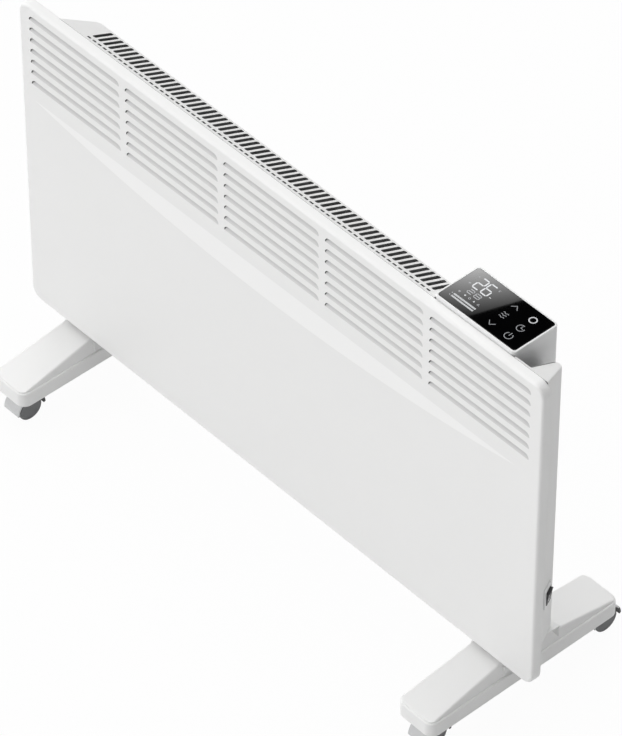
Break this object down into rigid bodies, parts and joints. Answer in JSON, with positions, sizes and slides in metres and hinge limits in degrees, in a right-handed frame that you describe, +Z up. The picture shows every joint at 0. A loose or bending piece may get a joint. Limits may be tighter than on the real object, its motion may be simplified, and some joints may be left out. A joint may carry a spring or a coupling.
{
  "type": "panel convector heater",
  "caption": "White upright panel convector heater with pressed air louvres, a rear casing, a touch control on top and two feet on castors.",
  "frame": {"origin": "on the floor, under the middle of the heater's outline", "axes": "+X to the right of someone who faces the front panel, +Y towards the back, +Z up"},
  "size_m": [0.83, 0.3014, 0.536],
  "materials": {
    "panel_enamel": "satin white powder coat",
    "casing_enamel": "satin white powder coat",
    "white_plastic": "fine satin white moulding",
    "black_glass": "polished black glass with lit figures",
    "circuit_board": "green laminate",
    "element_aluminium": "extruded",
    "zinc_sheet": "galvanised sheet",
    "ceramic": "unglazed ceramic",
    "dark_plastic": "moulded",
    "black_plastic": "moulded",
    "rocker_plastic": "satin moulded",
    "foot_plastic": "fine-grained white moulding",
    "bracket_enamel": "white powder coat",
    "socket_plastic": "moulded nylon",
    "bright_steel": "bright plated",
    "hood_plastic": "light grey moulding",
    "wheel_rubber": "grey tread"
  },
  "bodies": {
    "heater": {"front_panel": "panel_enamel", "rear_casing": "casing_enamel", "control_housing": "white_plastic", "touch_glass": "black_glass", "control_board": "circuit_board", "heating_element": "element_aluminium", "element_bracket_left": "zinc_sheet", "element_bracket_right": "zinc_sheet", "thermal_cutout": "ceramic", "room_sensor": "dark_plastic", "terminal_block": "ceramic", "cord_gland": "black_plastic", "switch_frame": "black_plastic", "foot_left": "foot_plastic", "foot_right": "foot_plastic", "foot_bracket_left": "bracket_enamel", "foot_bracket_right": "bracket_enamel", "castor_socket_front_left": "socket_plastic", "castor_socket_back_left": "socket_plastic", "castor_socket_front_right": "socket_plastic", "castor_socket_back_right": "socket_plastic"},
    "power_rocker": {"switch_rocker": "rocker_plastic"},
    "castor_front_left": {"castor_hood_front_left": "hood_plastic", "castor_stem_front_left": "bright_steel"},
    "wheels_front_left": {"castor_axle_front_left": "bright_steel", "castor_wheel_a_front_left": "wheel_rubber", "castor_wheel_b_front_left": "wheel_rubber"},
    "castor_back_left": {"castor_hood_back_left": "hood_plastic", "castor_stem_back_left": "bright_steel"},
    "wheels_back_left": {"castor_axle_back_left": "bright_steel", "castor_wheel_a_back_left": "wheel_rubber", "castor_wheel_b_back_left": "wheel_rubber"},
    "castor_front_right": {"castor_hood_front_right": "hood_plastic", "castor_stem_front_right": "bright_steel"},
    "wheels_front_right": {"castor_axle_front_right": "bright_steel", "castor_wheel_a_front_right": "wheel_rubber", "castor_wheel_b_front_right": "wheel_rubber"},
    "castor_back_right": {"castor_hood_back_right": "hood_plastic", "castor_stem_back_right": "bright_steel"},
    "wheels_back_right": {"castor_axle_back_right": "bright_steel", "castor_wheel_a_back_right": "wheel_rubber", "castor_wheel_b_back_right": "wheel_rubber"}
  },
  "joints": [
    {"name": "power_switch", "type": "hinge", "parent": "heater", "child": "power_rocker", "pos_m": [0.39383, -0.0155, 0.1945], "axis": [-0.4386, 0.8987, 0], "range_deg": [-16, 0]},
    {"name": "castor_swivel_front_left", "type": "hinge", "parent": "heater", "child": "castor_front_left", "pos_m": [-0.34, -0.13775, 0.045], "axis": [0, 0, 1], "continuous": true},
    {"name": "wheel_roll_front_left", "type": "hinge", "parent": "castor_front_left", "child": "wheels_front_left", "pos_m": [-0.34, -0.12575, 0.016], "axis": [1, 0, 0], "continuous": true},
    {"name": "castor_swivel_back_left", "type": "hinge", "parent": "heater", "child": "castor_back_left", "pos_m": [-0.34, 0.11825, 0.045], "axis": [0, 0, 1], "continuous": true},
    {"name": "wheel_roll_back_left", "type": "hinge", "parent": "castor_back_left", "child": "wheels_back_left", "pos_m": [-0.34, 0.13025, 0.016], "axis": [1, 0, 0], "continuous": true},
    {"name": "castor_swivel_front_right", "type": "hinge", "parent": "heater", "child": "castor_front_right", "pos_m": [0.34, -0.13775, 0.045], "axis": [0, 0, 1], "continuous": true},
    {"name": "wheel_roll_front_right", "type": "hinge", "parent": "castor_front_right", "child": "wheels_front_right", "pos_m": [0.34, -0.12575, 0.016], "axis": [1, 0, 0], "continuous": true},
    {"name": "castor_swivel_back_right", "type": "hinge", "parent": "heater", "child": "castor_back_right", "pos_m": [0.34, 0.11825, 0.045], "axis": [0, 0, 1], "continuous": true},
    {"name": "wheel_roll_back_right", "type": "hinge", "parent": "castor_back_right", "child": "wheels_back_right", "pos_m": [0.34, 0.13025, 0.016], "axis": [1, 0, 0], "continuous": true}
  ]
}
